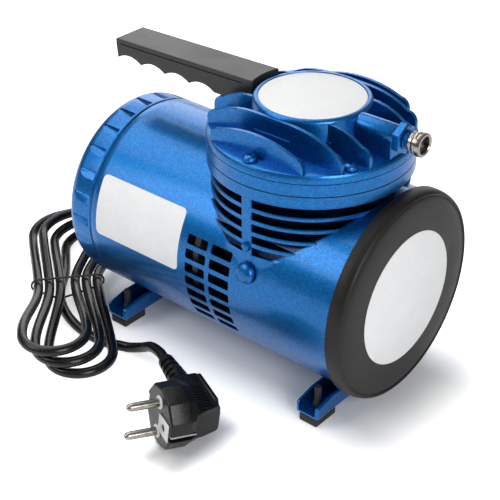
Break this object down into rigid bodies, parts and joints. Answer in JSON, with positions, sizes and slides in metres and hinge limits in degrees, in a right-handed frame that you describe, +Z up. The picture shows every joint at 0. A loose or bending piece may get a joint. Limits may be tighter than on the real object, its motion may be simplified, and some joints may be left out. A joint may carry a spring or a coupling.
{
  "type": "diaphragm air compressor",
  "caption": "Oil-free diaphragm air compressor: horizontal motor drum with feet, finned pump head on top, carrying handle, threaded outlet and mains lead in a tied hank with a two-pin plug.",
  "frame": {"origin": "on the floor, below the middle of the machine's length and width without its lead", "axes": "+X along the motor drum from the rear cover to the front cover and outlet, +Z up, -Y to the side with the grille and the plug"},
  "size_m": [0.2947, 0.1994, 0.1735],
  "materials": {
    "blue_paint": "metallic blue paint with fine flakes",
    "black_plastic": "satin warm black",
    "black_rubber": "matt black rubber",
    "cord_pvc": "glossy black sheath",
    "plug_pvc": "satin black moulding",
    "nickel": "nickel-plated brass",
    "steel": "plain steel",
    "lamination": "stacked sheet steel",
    "copper": "varnished copper wire",
    "aluminium": "cast aluminium",
    "fan_plastic": "moulded black plastic"
  },
  "bodies": {
    "housing": {"motor_housing": "blue_paint", "side_plug": "blue_paint", "rear_cover": "blue_paint", "valve_plate": "blue_paint", "head_cover": "blue_paint", "head_screw_1": "blue_paint", "head_screw_2": "blue_paint", "head_screw_3": "blue_paint", "head_screw_4": "blue_paint", "head_screw_5": "blue_paint", "head_screw_6": "blue_paint", "outlet_fitting": "blue_paint", "front_foot_bar": "blue_paint", "rear_foot_bar": "blue_paint", "front_cover": "black_plastic", "handle": "black_plastic", "diaphragm": "black_rubber", "head_gasket": "black_rubber", "front_near_foot": "black_rubber", "front_far_foot": "black_rubber", "rear_near_foot": "black_rubber", "rear_far_foot": "black_rubber", "cable_gland": "black_rubber", "cord_tie": "black_rubber", "cord_lead": "cord_pvc", "cord_hank": "cord_pvc", "cord_tail": "cord_pvc", "plug_body": "plug_pvc", "plug_sleeve": "plug_pvc", "outlet_nipple": "nickel", "upper_plug_pin": "nickel", "lower_plug_pin": "nickel", "handle_screw_1": "steel", "handle_screw_2": "steel", "front_bar_screw": "steel", "rear_bar_screw": "steel", "rear_bearing": "steel", "middle_bearing": "steel", "stator_core": "lamination", "front_winding": "copper", "rear_winding": "copper", "bearing_bracket": "aluminium"},
    "crankshaft": {"motor_shaft": "steel", "rotor_core": "lamination", "cooling_fan": "fan_plastic", "eccentric": "steel"},
    "rod": {"connecting_rod": "aluminium", "rod_bearing": "steel", "diaphragm_retainer": "aluminium", "retainer_screw": "steel"},
    "intake_valve": {"intake_reed": "steel"},
    "exhaust_valve": {"exhaust_reed": "steel"}
  },
  "joints": [
    {"name": "shaft_spin", "type": "hinge", "parent": "housing", "child": "crankshaft", "pos_m": [0.03422, 0, 0.07], "axis": [1, 0, 0], "continuous": true, "deforming": ["diaphragm"]},
    {"name": "rod_turn", "type": "hinge", "parent": "crankshaft", "child": "rod", "pos_m": [0.03422, 0, 0.068], "axis": [1, 0, 0], "continuous": true},
    {"name": "intake_flex", "type": "hinge", "parent": "housing", "child": "intake_valve", "pos_m": [0.02523, 0.0355, 0.1452], "axis": [0, 1, 0], "range_deg": [0, 5], "stiffness_Nm_per_rad": 0.02},
    {"name": "exhaust_flex", "type": "hinge", "parent": "housing", "child": "exhaust_valve", "pos_m": [0.02322, 0, 0.1478], "axis": [0, -1, 0], "range_deg": [0, 6], "stiffness_Nm_per_rad": 0.02}
  ],
  "couplings": [
    {"joint": "rod_turn", "follows": "shaft_spin", "ratio": -1}
  ]
}
